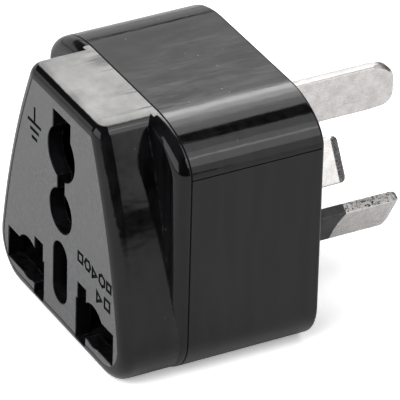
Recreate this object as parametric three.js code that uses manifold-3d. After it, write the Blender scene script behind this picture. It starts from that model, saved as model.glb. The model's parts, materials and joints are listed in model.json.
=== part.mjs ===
// Universal travel adapter: a socket face for several plug standards in front, three flat blades behind.
// Millimetres. X runs to the right across the socket face, Y from the socket face to the blades, Z up.
// The origin is the middle of the flat underside.
import * as THREE from 'three';
import { mergeVertices } from 'three/addons/utils/BufferGeometryUtils.js';
import Module from 'manifold-3d';

const wasm = await Module();
wasm.setup();

const UP = Math.PI / 2;

// Casing
const WIDTH = 36.8;
const HEIGHT = 35.2;
const FRONT = -14;
const SEAM = -5;
const BACK = 14;
const WALL = 1.8;
const FACE_WALL = 2.2;
const BACK_WALL = 2.1;
const FLANGE = 2;
const FLANGE_EDGE = 1.9;
const BACK_EDGE = 0.5;
const TOP_CORNER = { x: 9.4, z: 5.3 };
const BOTTOM_CORNER = 6;
const LIP = { gap: 0.3, thickness: 1.1, reach: 1.6, bottom: 11 };

// Raised socket block on the front cover: a narrow top, convex sides and a full-width foot
const BOSS_TOP_HALF = 9.5;
const BOSS_LEAN = THREE.MathUtils.degToRad(25);
const BOSS_SIDE_RADIUS = 105;
const BOSS_TOP_CORNER = 2.4;
const BOSS_EDGE = 1.9;

// Socket openings, measured from the live and neutral pin line
const PIN_LINE = 5.3;
const POST_SLOT = { inner: 4.6, outer: 14.9, height: 4.6 };
const BLADE_SLOT = { upperInner: 5, lowerInner: 4.6, outer: 7.3, above: 4.8, below: 3.8 };
const ROUND_PIN = { x: 9.2, rise: 0.5, radius: 3.05 };
const MIDDLE_SLOT = { width: 3.9, height: 9, rise: 3.4 };
const EARTH_LINE = PIN_LINE + 22.22;
const EARTH_SLOT = { width: 4.8, above: 4.4, neck: 2 };
const UPPER_LOBE = { radius: 3.75, z: EARTH_LINE - 1.2 };
const LOWER_LOBE = { radius: 3.1, z: EARTH_LINE - 9.6 };

// Blades: three flat strips, the earth blade upright and uppermost, the other two leaning outwards
const BLADE = { width: 6.35, thickness: 1.6, root: 8, taper: 0.45 };
const EARTH_BLADE = { z: 25.1, tip: BACK + 20.5, corner: 2.9 };
const LIVE_BLADE = { x: 6.86, z: EARTH_BLADE.z - 14.7, tip: BACK + 17.2, corner: 1.1, lean: Math.PI / 6 };
const SLEEVE = { length: 9.7, wall: 0.34, gap: 0.05 };

// The root of each blade is folded flat. Fold and rivet are measured from the blade's middle.
const TAB_THICKNESS = 1.2;
const LIVE_TAB = { length: 4.8, rivet: 3 };
const EARTH_TAB = { length: 7.8, rivet: 5.9 };

// Contacts
const PLATE = { front: 7, thickness: 0.7 };
const LEAF = { thickness: 0.45, root: 6.7, pinch: -5, mouth: -9.2 };
const LIVE_LEAF = { x: 8.9, width: 7, rootRise: 2.6, pinchRise: 1.9, mouthRise: 2.2 };
const EARTH_LEAF = { height: 6, rootRise: 3.1, pinchRise: 1.75, mouthRise: 2.8 };
const RIVET = { radius: 1, head: 1.7, headHeight: 0.6, hole: 1.15 };

// Contact carrier and screws
const CARRIER = { front: 9.4, back: 11.6, gap: 0.3 };
const BARRIER = { thickness: 1.2, front: 0, bottom: 3, top: 17 };
const SCREW = { x: 13, z: 26.5, head: 2.6, headHeight: 1.5, shank: 1.25, tip: 1 };
const SCREW_POST = { radius: 2.9, hole: 1.45, end: 8.9 };
const SCREW_SEAT = { radius: 3.5, front: 9.2, depth: 2, bore: 3, hole: 1.6 };

const finish = {
  casing: { color: 0x121214, roughness: 0.28, metalness: 0 },
  carrier: { color: 0x2b2b2d, roughness: 0.6, metalness: 0 },
  sleeve: { color: 0x161618, roughness: 0.45, metalness: 0 },
  plated: { color: 0xc9cac6, roughness: 0.3, metalness: 1 },
  brass: { color: 0xb8913f, roughness: 0.35, metalness: 1 },
  steel: { color: 0x9a9ca0, roughness: 0.35, metalness: 1 },
};

// ---- Solids: joining and cutting ----

function solid(geometry) {
  const bare = geometry.index ? geometry.toNonIndexed() : geometry.clone();
  bare.deleteAttribute('normal');
  bare.deleteAttribute('uv');
  const merged = mergeVertices(bare, 1e-4);
  return new wasm.Manifold(new wasm.Mesh({
    numProp: 3,
    vertProperties: new Float32Array(merged.attributes.position.array),
    triVerts: new Uint32Array(merged.index.array),
  }));
}

function join(first, ...others) {
  return others.reduce((whole, other) => whole.add(other), first);
}

function cut(first, ...others) {
  return others.reduce((whole, other) => whole.subtract(other), first);
}

function toGeometry(manifold) {
  const mesh = manifold.getMesh();
  const geometry = new THREE.BufferGeometry();
  geometry.setAttribute('position', new THREE.BufferAttribute(new Float32Array(mesh.vertProperties), 3));
  geometry.setIndex(new THREE.BufferAttribute(new Uint32Array(mesh.triVerts), 1));
  geometry.computeVertexNormals();
  return geometry;
}

// A flat outline drawn in X and Z, thickened from yFront to yBack, with an optional round edge at both ends.
function slab(shape, yFront, yBack, edge = 0) {
  const geometry = new THREE.ExtrudeGeometry(shape, {
    depth: yBack - yFront - 2 * edge,
    bevelEnabled: edge > 0,
    bevelThickness: edge,
    bevelSize: edge,
    bevelOffset: -edge,
    bevelSegments: 4,
    curveSegments: 6,
  });
  geometry.rotateX(UP);
  geometry.translate(0, yBack - edge, 0);
  return solid(geometry);
}

function block(xMin, xMax, yMin, yMax, zMin, zMax) {
  const geometry = new THREE.BoxGeometry(xMax - xMin, yMax - yMin, zMax - zMin);
  geometry.translate((xMin + xMax) / 2, (yMin + yMax) / 2, (zMin + zMax) / 2);
  return solid(geometry);
}

function rod(radius, x, z, yMin, yMax, sides = 32) {
  const geometry = new THREE.CylinderGeometry(radius, radius, yMax - yMin, sides);
  geometry.translate(x, (yMin + yMax) / 2, z);
  return solid(geometry);
}

// ---- Outlines in X and Z ----

function bodyShape(inset) {
  const half = WIDTH / 2 - inset;
  const top = HEIGHT - inset;
  const rx = TOP_CORNER.x - inset;
  const rz = TOP_CORNER.z - inset;
  const r = BOTTOM_CORNER - inset;
  const shape = new THREE.Shape();
  shape.moveTo(-half + r, inset);
  shape.lineTo(half - r, inset);
  shape.absarc(half - r, inset + r, r, -UP, 0);
  shape.lineTo(half, top - rz);
  shape.absellipse(half - rx, top - rz, rx, rz, 0, UP);
  shape.lineTo(-half + rx, top);
  shape.absellipse(-half + rx, top - rz, rx, rz, UP, 2 * UP);
  shape.lineTo(-half, inset + r);
  shape.absarc(-half + r, inset + r, r, 2 * UP, 3 * UP);
  return shape;
}

// The side of the block is one large arc, blended into the foot and the top by smaller ones.
function bossShape(inset) {
  const centreX = BOSS_TOP_HALF - BOSS_SIDE_RADIUS * Math.cos(BOSS_LEAN);
  const centreZ = HEIGHT - BOSS_SIDE_RADIUS * Math.sin(BOSS_LEAN);
  const foot = blend(centreX, centreZ, BOTTOM_CORNER, BOTTOM_CORNER);
  const head = blend(centreX, centreZ, BOSS_TOP_CORNER, HEIGHT - BOSS_TOP_CORNER);
  const side = BOSS_SIDE_RADIUS - inset;
  const shape = new THREE.Shape();
  shape.moveTo(0, inset);
  shape.absarc(foot.x, foot.z, foot.radius - inset, -UP, foot.angle);
  shape.absarc(centreX, centreZ, side, foot.angle, head.angle);
  shape.absarc(head.x, head.z, head.radius - inset, head.angle, UP);
  shape.absarc(-head.x, head.z, head.radius - inset, UP, 2 * UP - head.angle);
  shape.absarc(-centreX, centreZ, side, 2 * UP - head.angle, 2 * UP - foot.angle);
  shape.absarc(-foot.x, foot.z, foot.radius - inset, 2 * UP - foot.angle, 3 * UP);
  return shape;
}

// Centre and tangent angle of a small corner that touches the side arc from inside at height z.
function blend(centreX, centreZ, radius, z) {
  const reach = BOSS_SIDE_RADIUS - radius;
  const x = centreX + Math.sqrt(reach ** 2 - (z - centreZ) ** 2);
  return { x, z, radius, angle: Math.atan2(z - centreZ, x - centreX) };
}

function oval(width, height, z) {
  const r = width / 2;
  const rise = height / 2 - r;
  const shape = new THREE.Shape();
  shape.moveTo(r, z - rise);
  shape.lineTo(r, z + rise);
  shape.absarc(0, z + rise, r, 0, 2 * UP);
  shape.lineTo(-r, z - rise);
  shape.absarc(0, z - rise, r, 2 * UP, 4 * UP);
  return shape;
}

// ---- Casing ----

function socketCuts() {
  const front = FRONT - 1;
  const back = SEAM;
  const cuts = [
    earthSlot(front, back),
    slab(oval(MIDDLE_SLOT.width, MIDDLE_SLOT.height, PIN_LINE + MIDDLE_SLOT.rise), front, back),
  ];
  for (const side of [-1, 1]) {
    cuts.push(postSlot(side, front, back));
    cuts.push(rod(ROUND_PIN.radius, side * ROUND_PIN.x, PIN_LINE + ROUND_PIN.rise, front, back, 40));
    cuts.push(bladeSlot(side, front, back));
  }
  return cuts;
}

// A square-topped slot that runs down into two round lobes with a narrow neck between them.
function earthSlot(front, back) {
  const half = EARTH_SLOT.width / 2;
  const neck = EARTH_SLOT.neck / 2;
  return join(
    block(-half, half, front, back, UPPER_LOBE.z, EARTH_LINE + EARTH_SLOT.above),
    rod(UPPER_LOBE.radius, 0, UPPER_LOBE.z, front, back, 48),
    block(-neck, neck, front, back, LOWER_LOBE.z, UPPER_LOBE.z),
    rod(LOWER_LOBE.radius, 0, LOWER_LOBE.z, front, back, 48),
  );
}

// A block between two distances from the middle, on the side asked for.
function sideBlock(side, inner, outer, front, back, low, high) {
  const ends = [side * inner, side * outer];
  return block(Math.min(...ends), Math.max(...ends), front, back, low, high);
}

function postSlot(side, front, back) {
  const half = POST_SLOT.height / 2;
  return sideBlock(side, POST_SLOT.inner, POST_SLOT.outer, front, back, PIN_LINE - half, PIN_LINE + half);
}

// The lower part of an upright slot reaches a little further in than its upper part.
function bladeSlot(side, front, back) {
  const { upperInner, lowerInner, outer, above, below } = BLADE_SLOT;
  return join(
    sideBlock(side, upperInner, outer, front, back, PIN_LINE, PIN_LINE + above),
    sideBlock(side, lowerInner, outer, front, back, PIN_LINE - below, PIN_LINE),
  );
}

function frontCover() {
  const boss = slab(bossShape(0), FRONT, SEAM + BOSS_EDGE, BOSS_EDGE);
  const flange = slab(bodyShape(0), SEAM - FLANGE, SEAM + FLANGE, FLANGE_EDGE);
  const behindSeam = block(-WIDTH, WIDTH, SEAM, BACK, -1, HEIGHT + 1);
  const shell = cut(join(boss, flange), behindSeam);
  const lipOuter = WALL + LIP.gap;
  const lip = cut(
    slab(bodyShape(lipOuter), SEAM - 1, SEAM + LIP.reach),
    slab(bodyShape(lipOuter + LIP.thickness), SEAM - 2, SEAM + LIP.reach + 1),
    block(-WIDTH, WIDTH, SEAM - 2, SEAM + LIP.reach + 1, -1, LIP.bottom),
  );
  const cavity = slab(bossShape(WALL), FRONT + FACE_WALL, SEAM + 1);
  const posts = [-1, 1].map((side) => (
    rod(SCREW_POST.radius, side * SCREW.x, SCREW.z, SEAM - 1, SCREW_POST.end)));
  const pilots = [-1, 1].map((side) => rod(SCREW_POST.hole, side * SCREW.x, SCREW.z, SEAM, BACK));
  return cut(join(cut(join(shell, lip), cavity), ...posts), ...pilots, ...socketCuts());
}

function rearHousing() {
  const outer = cut(
    slab(bodyShape(0), SEAM - BACK_EDGE, BACK, BACK_EDGE),
    block(-WIDTH, WIDTH, FRONT, SEAM, -1, HEIGHT + 1),
  );
  const cavity = slab(bodyShape(WALL), SEAM - 1, BACK - BACK_WALL);
  const seats = [];
  const bores = [];
  for (const side of [-1, 1]) {
    const x = side * SCREW.x;
    seats.push(rod(SCREW_SEAT.radius, x, SCREW.z, SCREW_SEAT.front, BACK - 1));
    bores.push(rod(SCREW_SEAT.bore, x, SCREW.z, BACK - SCREW_SEAT.depth, BACK + 1));
    bores.push(rod(SCREW_SEAT.hole, x, SCREW.z, SEAM, BACK));
  }
  const slots = bladePlaces().map((place) => bladeWindow(place, 0.2, BACK - BACK_WALL - 1, BACK + 1));
  return cut(join(cut(outer, cavity), ...seats), ...bores, ...slots);
}

// ---- Blades ----

function bladePlaces() {
  return [
    { x: 0, z: EARTH_BLADE.z, lean: 0 },
    { x: LIVE_BLADE.x, z: LIVE_BLADE.z, lean: LIVE_BLADE.lean },
    { x: -LIVE_BLADE.x, z: LIVE_BLADE.z, lean: -LIVE_BLADE.lean },
  ];
}

// Turns a piece built along Y, with its width in Z and its thickness in X, about its own middle line.
function setBlade(geometry, { x, z, lean }) {
  geometry.rotateY(lean);
  geometry.translate(x, 0, z);
  return geometry;
}

function bladeBox(width, thickness, yMin, yMax, place) {
  const geometry = new THREE.BoxGeometry(thickness, yMax - yMin, width);
  geometry.translate(0, (yMin + yMax) / 2, 0);
  return solid(setBlade(geometry, place));
}

function bladeWindow(place, gap, yMin, yMax) {
  return bladeBox(BLADE.width + 2 * gap, BLADE.thickness + 2 * gap, yMin, yMax, place);
}

// A strip whose far end has round corners and a taper on both faces.
function bladeStrip({ tip, corner }, place) {
  const half = BLADE.width / 2;
  const thin = BLADE.thickness / 2;
  const flat = new THREE.Shape();
  flat.moveTo(BLADE.root, -half);
  flat.lineTo(tip - corner, -half);
  flat.absarc(tip - corner, -half + corner, corner, -UP, 0);
  flat.absarc(tip - corner, half - corner, corner, 0, UP);
  flat.lineTo(BLADE.root, half);
  const wide = new THREE.ExtrudeGeometry(flat, {
    depth: BLADE.thickness,
    bevelEnabled: false,
    curveSegments: 8,
  });
  wide.translate(0, 0, -thin);
  const edge = new THREE.Shape();
  edge.moveTo(BLADE.root - 1, -thin - 1);
  edge.lineTo(tip - 2 * BLADE.taper, -thin - 1);
  edge.lineTo(tip - 2 * BLADE.taper, -thin);
  edge.lineTo(tip + 0.01, -thin + BLADE.taper);
  edge.lineTo(tip + 0.01, thin - BLADE.taper);
  edge.lineTo(tip - 2 * BLADE.taper, thin);
  edge.lineTo(tip - 2 * BLADE.taper, thin + 1);
  edge.lineTo(BLADE.root - 1, thin + 1);
  const narrow = new THREE.ExtrudeGeometry(edge, { depth: BLADE.width + 2, bevelEnabled: false });
  narrow.rotateX(UP);
  narrow.translate(0, half + 1, 0);
  const strip = toGeometry(solid(wide).intersect(solid(narrow)));
  const stand = new THREE.Matrix4().makeBasis(
    new THREE.Vector3(0, 1, 0), new THREE.Vector3(0, 0, 1), new THREE.Vector3(1, 0, 0));
  strip.applyMatrix4(stand);
  return solid(setBlade(strip, place));
}

// The folded root that lies against the contact plate; side is the way the fold points.
function bladeTab(place, tab, side) {
  const geometry = new THREE.BoxGeometry(tab.length, TAB_THICKNESS, BLADE.width);
  geometry.translate(side * tab.length / 2, BLADE.root + TAB_THICKNESS / 2, 0);
  return solid(setBlade(geometry, place));
}

function rivetPlace({ x, z, lean }, tab, side) {
  return { x: x + side * tab.rivet * Math.cos(lean), z: z - side * tab.rivet * Math.sin(lean) };
}

function blade(strip, place, tab, side) {
  const rivetAt = rivetPlace(place, tab, side);
  const hole = rod(RIVET.hole, rivetAt.x, rivetAt.z, BLADE.root - 1, BLADE.root + TAB_THICKNESS + 0.5);
  return cut(join(bladeStrip(strip, place), bladeTab(place, tab, side)), hole);
}

// Under its sleeve a blade is thinner, so that the sleeve lies flush.
function neckCut(place) {
  const start = BACK - BACK_WALL;
  const end = BACK + SLEEVE.length;
  const inner = SLEEVE.wall + SLEEVE.gap;
  return cut(
    bladeBox(BLADE.width + 2, BLADE.thickness + 2, start, end, place),
    bladeBox(BLADE.width - 2 * inner, BLADE.thickness - 2 * inner, start - 1, end + 1, place),
  );
}

function sleeve(place) {
  const start = BACK - BACK_WALL + 0.1;
  const end = BACK + SLEEVE.length - 0.05;
  return cut(
    bladeBox(BLADE.width, BLADE.thickness, start, end, place),
    bladeBox(BLADE.width - 2 * SLEEVE.wall, BLADE.thickness - 2 * SLEEVE.wall, start - 1, end + 1, place),
  );
}

// ---- Contacts ----

function contactPlate(points, rivetAt) {
  const shape = new THREE.Shape(points.map(([x, z]) => new THREE.Vector2(x, z)));
  const plate = slab(shape, PLATE.front, PLATE.front + PLATE.thickness);
  return cut(plate, rod(RIVET.hole, rivetAt.x, rivetAt.z, PLATE.front - 1, PLATE.front + 2));
}

function livePlatePoints(side) {
  const points = [[5, 2.3], [12.9, 2.3], [12.9, 9.4], [8.4, 15.4], [2, 15.4], [2, 10.4], [5, 9.2]];
  return side > 0 ? points : points.map(([x, z]) => [-x, z]).reverse();
}

function rivet({ x, z }) {
  const front = PLATE.front - RIVET.headHeight;
  const back = BLADE.root + TAB_THICKNESS - 0.05;
  return join(
    rod(RIVET.head, x, z, front, PLATE.front - 0.05, 24),
    rod(RIVET.radius, x, z, front + 0.1, back, 24),
  );
}

// A spring strip that leans in towards the pin, pinches it, then flares open at its mouth.
// Drawn with Y along the strip and the rise away from the pin's middle line, then made width wide.
function leafStrip({ rootRise, pinchRise, mouthRise }, width) {
  const outer = LEAF.thickness;
  const line = [[LEAF.root, rootRise], [LEAF.pinch, pinchRise], [LEAF.mouth, mouthRise]];
  const shape = new THREE.Shape();
  shape.moveTo(line[0][0], line[0][1]);
  line.slice(1).forEach(([y, rise]) => shape.lineTo(y, rise));
  line.slice().reverse().forEach(([y, rise]) => shape.lineTo(y, rise + outer));
  const geometry = new THREE.ExtrudeGeometry(shape, { depth: width, bevelEnabled: false });
  geometry.translate(0, 0, -width / 2);
  return geometry;
}

function liveLeaf(side, above) {
  const geometry = leafStrip(LIVE_LEAF, LIVE_LEAF.width);
  const turn = new THREE.Matrix4().makeBasis(
    new THREE.Vector3(0, 1, 0), new THREE.Vector3(0, 0, above), new THREE.Vector3(above, 0, 0));
  geometry.applyMatrix4(turn);
  geometry.translate(side * LIVE_LEAF.x, 0, PIN_LINE);
  return solid(geometry);
}

function earthLeaf(side) {
  const geometry = leafStrip(EARTH_LEAF, EARTH_LEAF.height);
  const turn = new THREE.Matrix4().makeBasis(
    new THREE.Vector3(0, 1, 0), new THREE.Vector3(side, 0, 0), new THREE.Vector3(0, 0, -side));
  geometry.applyMatrix4(turn);
  geometry.translate(0, 0, EARTH_LINE);
  return solid(geometry);
}

// ---- Carrier and screws ----

function contactCarrier() {
  const plate = slab(bodyShape(WALL + CARRIER.gap), CARRIER.front, CARRIER.back);
  const half = BARRIER.thickness / 2;
  const barrier = block(-half, half, BARRIER.front, CARRIER.front + 1, BARRIER.bottom, BARRIER.top);
  const windows = bladePlaces().map((place) => (
    bladeWindow(place, 0.15, CARRIER.front - 1, CARRIER.back + 1)));
  const clearances = [-1, 1].map((side) => (
    rod(SCREW_SEAT.radius + CARRIER.gap, side * SCREW.x, SCREW.z, CARRIER.front - 1, CARRIER.back + 1)));
  return cut(join(plate, barrier), ...windows, ...clearances);
}

function caseScrew(side) {
  const x = side * SCREW.x;
  const headFront = BACK - SCREW_SEAT.depth + 0.05;
  const headBack = headFront + SCREW.headHeight;
  const slotHalf = 0.3;
  const slotReach = 1.5;
  const slotFloor = headBack - 0.8;
  const head = rod(SCREW.head, x, SCREW.z, headFront, headBack);
  const shank = rod(SCREW.shank, x, SCREW.z, SCREW.tip, headFront + 0.5);
  return cut(
    join(head, shank),
    block(x - slotHalf, x + slotHalf, slotFloor, BACK, SCREW.z - slotReach, SCREW.z + slotReach),
    block(x - slotReach, x + slotReach, slotFloor, BACK, SCREW.z - slotHalf, SCREW.z + slotHalf),
  );
}

// ---- Assembly ----

const adapter = new THREE.Group();

function addPart(name, manifold, look) {
  const part = new THREE.Mesh(toGeometry(manifold), new THREE.MeshStandardMaterial(look));
  part.name = name;
  adapter.add(part);
}

addPart('front_cover', frontCover(), finish.casing);
addPart('rear_housing', rearHousing(), finish.casing);
addPart('contact_carrier', contactCarrier(), finish.carrier);

const [earthPlace, activePlace, neutralPlace] = bladePlaces();
const earthRivetAt = rivetPlace(earthPlace, EARTH_TAB, 1);
addPart('earth_blade', blade(EARTH_BLADE, earthPlace, EARTH_TAB, 1), finish.plated);
addPart('earth_contact_plate', contactPlate(
  [[-4.4, 21.6], [8.4, 21.6], [8.4, 28.4], [4.4, 31], [-4.4, 31]], earthRivetAt), finish.brass);
addPart('earth_rivet', rivet(earthRivetAt), finish.steel);
addPart('earth_leaf_left', earthLeaf(-1), finish.brass);
addPart('earth_leaf_right', earthLeaf(1), finish.brass);

const poles = [
  { pole: 'active', side: 1, place: activePlace },
  { pole: 'neutral', side: -1, place: neutralPlace },
];
for (const { pole, side, place } of poles) {
  const rivetAt = rivetPlace(place, LIVE_TAB, -side);
  const bare = blade(LIVE_BLADE, place, LIVE_TAB, -side);
  addPart(`${pole}_blade`, cut(bare, neckCut(place)), finish.plated);
  addPart(`${pole}_sleeve`, sleeve(place), finish.sleeve);
  addPart(`${pole}_contact_plate`, contactPlate(livePlatePoints(side), rivetAt), finish.brass);
  addPart(`${pole}_rivet`, rivet(rivetAt), finish.steel);
  addPart(`${pole}_leaf_upper`, liveLeaf(side, 1), finish.brass);
  addPart(`${pole}_leaf_lower`, liveLeaf(side, -1), finish.brass);
}

addPart('case_screw_left', caseScrew(-1), finish.steel);
addPart('case_screw_right', caseScrew(1), finish.steel);

export default adapter;
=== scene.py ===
import json
import math

import bmesh
import bpy
from bpy.props import FloatProperty, FloatVectorProperty, PointerProperty
from mathutils import Matrix, Vector

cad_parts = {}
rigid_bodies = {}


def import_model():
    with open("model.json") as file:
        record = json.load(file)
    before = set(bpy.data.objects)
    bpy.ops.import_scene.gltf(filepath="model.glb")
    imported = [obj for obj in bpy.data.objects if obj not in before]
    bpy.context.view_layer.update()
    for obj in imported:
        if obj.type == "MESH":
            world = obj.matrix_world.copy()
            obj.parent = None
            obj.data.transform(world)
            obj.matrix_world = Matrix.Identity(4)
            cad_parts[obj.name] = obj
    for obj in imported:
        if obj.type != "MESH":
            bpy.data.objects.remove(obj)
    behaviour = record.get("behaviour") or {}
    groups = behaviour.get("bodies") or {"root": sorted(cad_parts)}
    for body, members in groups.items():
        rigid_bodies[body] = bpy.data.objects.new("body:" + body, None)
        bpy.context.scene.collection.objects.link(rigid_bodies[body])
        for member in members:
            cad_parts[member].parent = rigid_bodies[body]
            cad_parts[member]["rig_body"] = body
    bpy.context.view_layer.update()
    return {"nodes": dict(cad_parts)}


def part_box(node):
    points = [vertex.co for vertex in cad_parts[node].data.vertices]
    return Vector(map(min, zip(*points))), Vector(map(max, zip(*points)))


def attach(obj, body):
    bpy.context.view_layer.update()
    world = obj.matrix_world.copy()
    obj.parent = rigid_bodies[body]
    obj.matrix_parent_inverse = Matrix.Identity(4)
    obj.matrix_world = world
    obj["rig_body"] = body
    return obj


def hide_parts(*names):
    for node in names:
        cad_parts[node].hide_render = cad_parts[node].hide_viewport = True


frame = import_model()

bl_info = {
    "name": "Travel adapter",
    "version": (1, 0, 0),
    "blender": (4, 5, 0),
    "location": "3D View > Sidebar > Adapter",
    "description": "Models a universal travel adapter piece by piece around its packed CAD frame",
    "category": "Add Mesh",
}

MM = 0.001
UPRIGHT = math.pi / 2
HOUSING_LOW, HOUSING_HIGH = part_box("rear_housing")
EARTH_LOW, EARTH_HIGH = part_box("earth_blade")

# Depths, in metres
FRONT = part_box("front_cover")[0].y
SEAM = HOUSING_LOW.y
BACK = HOUSING_HIGH.y
LIVE_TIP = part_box("active_blade")[1].y

# Two places closer than this count as one
NEAR = 0.00002
# How far the matt face lies below the polished rounding about it
FACE_STEP = 0.07 * MM
FACE_LEVEL = FRONT + FACE_STEP
# The small rounding along the seam, the openings and the blades' windows
SOFT_EDGE = 0.12 * MM

# Socket openings, in millimetres from the line of the lower pins
PIN_LINE = 5.3
EARTH_LINE = PIN_LINE + 22.22
POST = {"inner": 4.6, "outer": 14.9, "half": 2.3}
STRIP = {"inner_above": 5.0, "inner_below": 4.6, "outer": 7.3, "above": 4.8, "below": 3.8}
ROUND_PIN = {"x": 9.2, "z": PIN_LINE + 0.5, "radius": 3.05}
MIDDLE = {"half": 1.95, "low": PIN_LINE - 1.1, "high": PIN_LINE + 7.9}
UPPER_LOBE = {"z": EARTH_LINE - 1.2, "radius": 3.75}
LOWER_LOBE = {"z": EARTH_LINE - 9.6, "radius": 3.1}
EARTH_SLOT = {"half": 2.4, "top": EARTH_LINE + 4.4, "neck": 1.0}

# Marks cut into the socket face: the earth sign, then rows of plain shapes
EARTH_SIGN = [
    (-7.8, -7.3, 26.9, 29.3),
    (-9.5, -5.7, 26.62, 27.14),
    (-8.8, -6.3, 25.52, 26.04),
    (-8.35, -6.75, 24.42, 24.94),
]
MARK_ROWS = [
    # sides, x, z, radius, turn
    (4, 5.7, 14.1, 1.2, 45),
    (6, 7.7, 14.1, 1.05, 30),
    (3, 9.45, 13.85, 1.2, 90),
    (6, 11.7, 14.0, 1.1, 0),
    (4, 13.6, 14.0, 1.1, 45),
    (3, 10.8, 11.0, 1.3, 90),
    (4, 13.2, 11.2, 1.3, 45),
]
MARK_STROKE = 0.46
MARK_DEPTH = 0.2

# Casing, in millimetres
LIP = {"gap": 0.3, "inner": 1.4, "reach": 1.6, "foot": 11}
MOULD_LINE = {"half": 0.09, "depth": 0.07}
COVER_POST = {"radius": 2.9, "hole": 1.45, "start": 1.25, "end": 8.9}
SCREW_SEAT = {"radius": 3.5, "head": 3.0, "hole": 1.6, "start": 9.2}
SCREW_X = 13.0
SCREW_Z = 26.5

# Blades, in millimetres: the earth blade's height above the other two, their distance across,
# and sizes from each blade's own middle line
EARTH_RISE = 14.7
LIVE_X = 6.86
LIVE_LEAN = math.radians(30)
BLADE_ROOT = 8.0
TAB_THICKNESS = 1.2
RIVET_HOLE = 1.15
LIVE_TAB = {"length": 4.8, "rivet": 3.0}
EARTH_TAB = {"length": 7.8, "rivet": 5.9}
LIVE_ROUNDING = {"upper": 0.8, "lower": 0.9, "edge": 0.2, "tip": 0.2}
EARTH_ROUNDING = {"upper": 2.8, "lower": 2.0, "edge": 0.3, "tip": 0.4}
TIP_SLOPE = {"length": 1.1, "depth": 0.45}
SLEEVE_WALL = 0.34
SLEEVE_ARC = {"radius": 16.0, "y": 38.3, "rise": -1.6}

# Screws, in millimetres
SCREW_HEAD = {"radius": 2.6, "depth": 1.5, "sunk": 1.95, "rounding": 0.5, "foot_rounding": 0.15}
RECESS = {"half_length": 1.5, "half_width": 0.28, "depth": 0.9, "taper": 0.6, "turn": 0.35}
SHANK = {"radius": 1.25, "start": 1.0, "into_head": 0.5, "rings": 22, "groove": 0.8, "point": 0.5}


# ---- Sizes and colours a user may change ----

def length(name, description, default):
    return FloatProperty(
        name=name, description=description, default=default, min=0.0, unit="LENGTH", precision=5
    )


def colour(name, description, default):
    return FloatVectorProperty(
        name=name, description=description, default=default,
        size=3, min=0.0, max=1.0, subtype="COLOR",
    )


class AdapterSizes(bpy.types.PropertyGroup):
    """Sizes of the adapter's casing and blades."""

    width: length("Width", "Width of the casing", HOUSING_HIGH.x - HOUSING_LOW.x)
    height: length("Height", "Height of the casing", HOUSING_HIGH.z - HOUSING_LOW.z)
    wall: length("Wall", "Thickness of the casing's wall", 1.8 * MM)
    face_wall: length("Face wall", "Thickness of the socket face", 2.2 * MM)
    back_wall: length("Back wall", "Thickness of the wall that the blades leave through", 2.1 * MM)
    corner_across: length("Corner across", "How far the top corners reach inwards", 9.4 * MM)
    corner_down: length("Corner down", "How far the top corners reach down", 5.3 * MM)
    foot_corner: length("Foot corner", "Radius of the two lower corners", 6.0 * MM)
    flange: length("Flange", "Depth of the cover's flange behind the socket block", 2.0 * MM)
    block_top: length("Block top", "Half the width of the socket block's top", 9.5 * MM)
    block_side: length("Block side", "Radius of the socket block's bowed sides", 105 * MM)
    block_corner: length("Block corner", "Radius of the socket block's top corners", 2.4 * MM)
    block_edge: length("Block edge", "Rounding round the socket face", 1.9 * MM)
    block_lean: FloatProperty(
        name="Block lean",
        description="Lean of the socket block's sides where they meet its top",
        default=math.radians(25),
        subtype="ANGLE",
    )
    back_edge: length("Back edge", "Rounding of the housing's back edge", 0.5 * MM)
    blade_width: length("Blade width", "Width of a blade", 6.35 * MM)
    blade_thickness: length("Blade thickness", "Thickness of a blade", 1.6 * MM)


class AdapterFinishes(bpy.types.PropertyGroup):
    """Colours of the adapter's materials."""

    gloss: colour("Casing", "Polished black of the casing", (0.0028, 0.0028, 0.0032))
    face: colour("Socket face", "Matt charcoal of the socket face", (0.116, 0.117, 0.12))
    # pale colour for the painted sheen on the block's top
    worn: colour("Painted sheen top", "Pale painted sheen on top of the socket block", (0.265, 0.262, 0.257))
    nickel: colour("Plating", "Nickel plating of the blades", (0.8, 0.772, 0.758))
    sleeve: colour("Sleeve", "Insulating sleeves on the blades", (0.02, 0.02, 0.021))
    brass: colour("Brass", "Contact springs and plates", (0.56, 0.37, 0.13))
    steel: colour("Steel", "Screws and rivets", (0.42, 0.42, 0.43))
    carrier: colour("Carrier", "Plate that holds the contacts", (0.03, 0.03, 0.032))


def sizes():
    return bpy.context.scene.adapter_sizes


def finishes():
    return bpy.context.scene.adapter_finishes


# ---- Modelling by hand, step by step ----

def leave_edit():
    if bpy.context.object and bpy.context.object.mode != "OBJECT":
        bpy.ops.object.mode_set(mode="OBJECT")


def deselect():
    leave_edit()
    bpy.ops.object.select_all(action="DESELECT")


def take(piece):
    """Makes the piece the only selected object and the active one."""
    deselect()
    piece.select_set(True)
    bpy.context.view_layer.objects.active = piece
    return piece


def edit(piece):
    take(piece)
    bpy.ops.object.mode_set(mode="EDIT")


def pick(kind, test):
    """Selects the vertices, edges or faces of the edited piece that pass a test."""
    mode = {"verts": "VERT", "edges": "EDGE", "faces": "FACE"}[kind]
    bpy.ops.mesh.select_mode(type=mode)
    bpy.ops.mesh.select_all(action="DESELECT")
    mesh = bmesh.from_edit_mesh(bpy.context.object.data)
    mesh.normal_update()
    found = [part for part in getattr(mesh, kind) if test(part)]
    for part in found:
        part.select_set(True)
    mesh.select_flush_mode()
    bmesh.update_edit_mesh(bpy.context.object.data)
    return len(found)


def settle(piece):
    """Puts the piece's place into its mesh."""
    take(piece)
    bpy.ops.object.transform_apply(location=True, rotation=True, scale=True)
    return piece


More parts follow.
